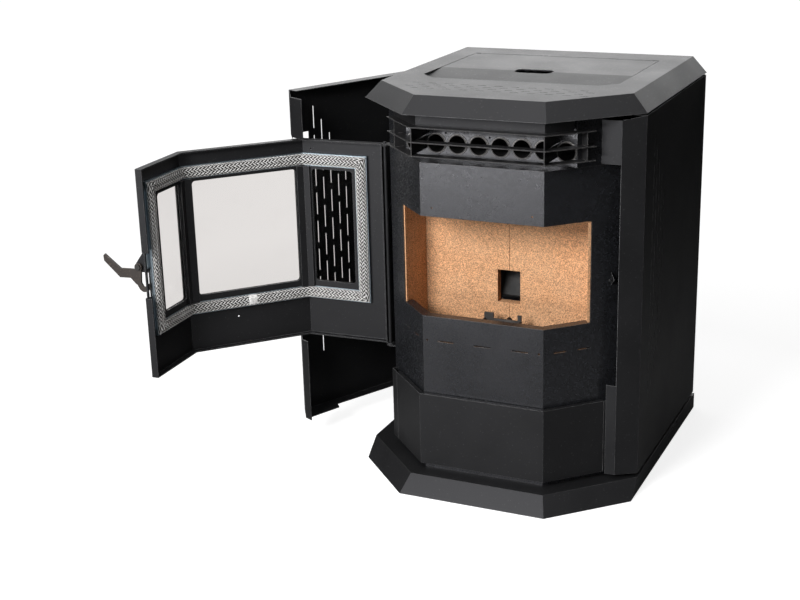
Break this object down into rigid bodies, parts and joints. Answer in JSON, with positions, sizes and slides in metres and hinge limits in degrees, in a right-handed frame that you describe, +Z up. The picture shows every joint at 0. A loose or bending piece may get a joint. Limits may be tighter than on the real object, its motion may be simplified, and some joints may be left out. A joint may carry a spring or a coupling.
{
  "type": "pellet stove",
  "caption": "Free-standing pellet stove of black sheet steel with a faceted bay front, glazed door, brick-lined firebox, louvred warm-air outlet, top hopper and ash drawer.",
  "frame": {"origin": "centre of the base on the floor", "axes": "+Z up, +X to the right seen from the front, +Y towards the rear; the front faces -Y"},
  "size_m": [1.1236, 0.9199, 0.889],
  "materials": {
    "body_paint": "satin black high-temperature paint",
    "header_paint": "fine metallic speckle in dark blue-grey paint",
    "fin_paint": "satin brown-black paint with bright worn edges",
    "firebrick": "granular tan vermiculite board with dark specks",
    "pane": "clear heat-proof glass",
    "rope": "silver-white braided glass-fibre rope",
    "zinc": "bluish bright zinc",
    "galvanised": "dull galvanised sheet",
    "tube_steel": "heat-darkened steel",
    "fastener": "bright plated",
    "pot_iron": "rough dark iron",
    "motor_case": "semi-gloss dark grey",
    "black_plastic": "fine-textured black"
  },
  "bodies": {
    "stove": {"base_pedestal": "body_paint", "firebox": "body_paint", "ash_compartment": "body_paint", "heat_chamber": "body_paint", "top_plate": "body_paint", "skirt_sides": "body_paint", "rear_panel": "body_paint", "latch_striker": "body_paint", "hinge_brackets": "body_paint", "door_hinge_rod": "body_paint", "drawer_catches": "body_paint", "burn_pot_holder": "body_paint", "body_front": "header_paint", "tube_plate": "header_paint", "louvre_fascia": "header_paint", "louvre": "fin_paint", "back_brick_left": "firebrick", "back_brick_right": "firebrick", "side_brick_left": "firebrick", "side_brick_right": "firebrick", "hopper": "galvanised", "air_plenum": "galvanised", "air_duct": "galvanised", "drawer_runners": "galvanised", "blower_housing": "galvanised", "exhaust_housing": "galvanised", "auger_housing": "galvanised", "air_intake": "galvanised", "flue_outlet": "galvanised", "heat_tubes": "tube_steel", "igniter": "tube_steel", "pellet_chute": "tube_steel", "rear_screws": "fastener", "lid_hinge_pin": "fastener", "panel_hinge_pins": "fastener", "auger_motor": "motor_case", "blower_motor": "motor_case", "exhaust_motor": "motor_case", "control_box": "black_plastic", "power_inlet": "black_plastic"},
    "door": {"door_skin": "body_paint", "door_glass_left": "pane", "door_glass_middle": "pane", "door_glass_right": "pane", "glass_frame": "body_paint", "glass_posts": "body_paint", "gasket_channel": "zinc", "door_gasket": "rope", "handle_bracket": "body_paint", "handle_bolt": "fastener"},
    "handle": {"door_handle": "fin_paint"},
    "left_panel": {"left_panel": "body_paint"},
    "right_panel": {"right_panel": "body_paint"},
    "lid": {"lid": "body_paint"},
    "ash_drawer": {"drawer_front": "body_paint", "ash_pan": "galvanised"},
    "burn_pot": {"burn_pot": "pot_iron"},
    "auger": {"auger": "tube_steel"},
    "blower_wheel": {"blower_wheel": "galvanised"},
    "exhaust_impeller": {"exhaust_impeller": "galvanised"}
  },
  "joints": [
    {"name": "door_hinge", "type": "hinge", "parent": "stove", "child": "door", "pos_m": [-0.287, -0.14, 0.5], "axis": [0, 0, 1], "range_deg": [-3, 132.45]},
    {"name": "handle_pivot", "type": "hinge", "parent": "door", "child": "handle", "pos_m": [-0.71655, -0.51245, 0.517], "axis": [0.0445, -0.999, 0], "range_deg": [0, 20]},
    {"name": "left_panel_hinge", "type": "hinge", "parent": "stove", "child": "left_panel", "pos_m": [-0.312, 0.344, 0.45], "axis": [0, 0, 1], "range_deg": [-70, 26.1]},
    {"name": "right_panel_hinge", "type": "hinge", "parent": "stove", "child": "right_panel", "pos_m": [0.312, 0.344, 0.45], "axis": [0, 0, 1], "range_deg": [0, 96]},
    {"name": "lid_hinge", "type": "hinge", "parent": "stove", "child": "lid", "pos_m": [0, 0.2668, 0.8863], "axis": [-1, 0, 0], "range_deg": [0, 85]},
    {"name": "ash_drawer_slide", "type": "slide", "parent": "stove", "child": "ash_drawer", "axis": [0, -1, 0], "range_m": [0, 0.15]},
    {"name": "burn_pot_lift", "type": "slide", "parent": "stove", "child": "burn_pot", "axis": [0, 0, 1], "range_m": [0, 0.06]},
    {"name": "auger_spin", "type": "hinge", "parent": "stove", "child": "auger", "pos_m": [0, 0.1, 0.497], "axis": [0, -0.866, 0.5], "continuous": true},
    {"name": "blower_spin", "type": "hinge", "parent": "stove", "child": "blower_wheel", "pos_m": [0.15, -0.056, 0.13], "axis": [0, 1, 0], "continuous": true},
    {"name": "exhaust_spin", "type": "hinge", "parent": "stove", "child": "exhaust_impeller", "pos_m": [-0.13, -0.064, 0.19], "axis": [0, 1, 0], "continuous": true}
  ]
}
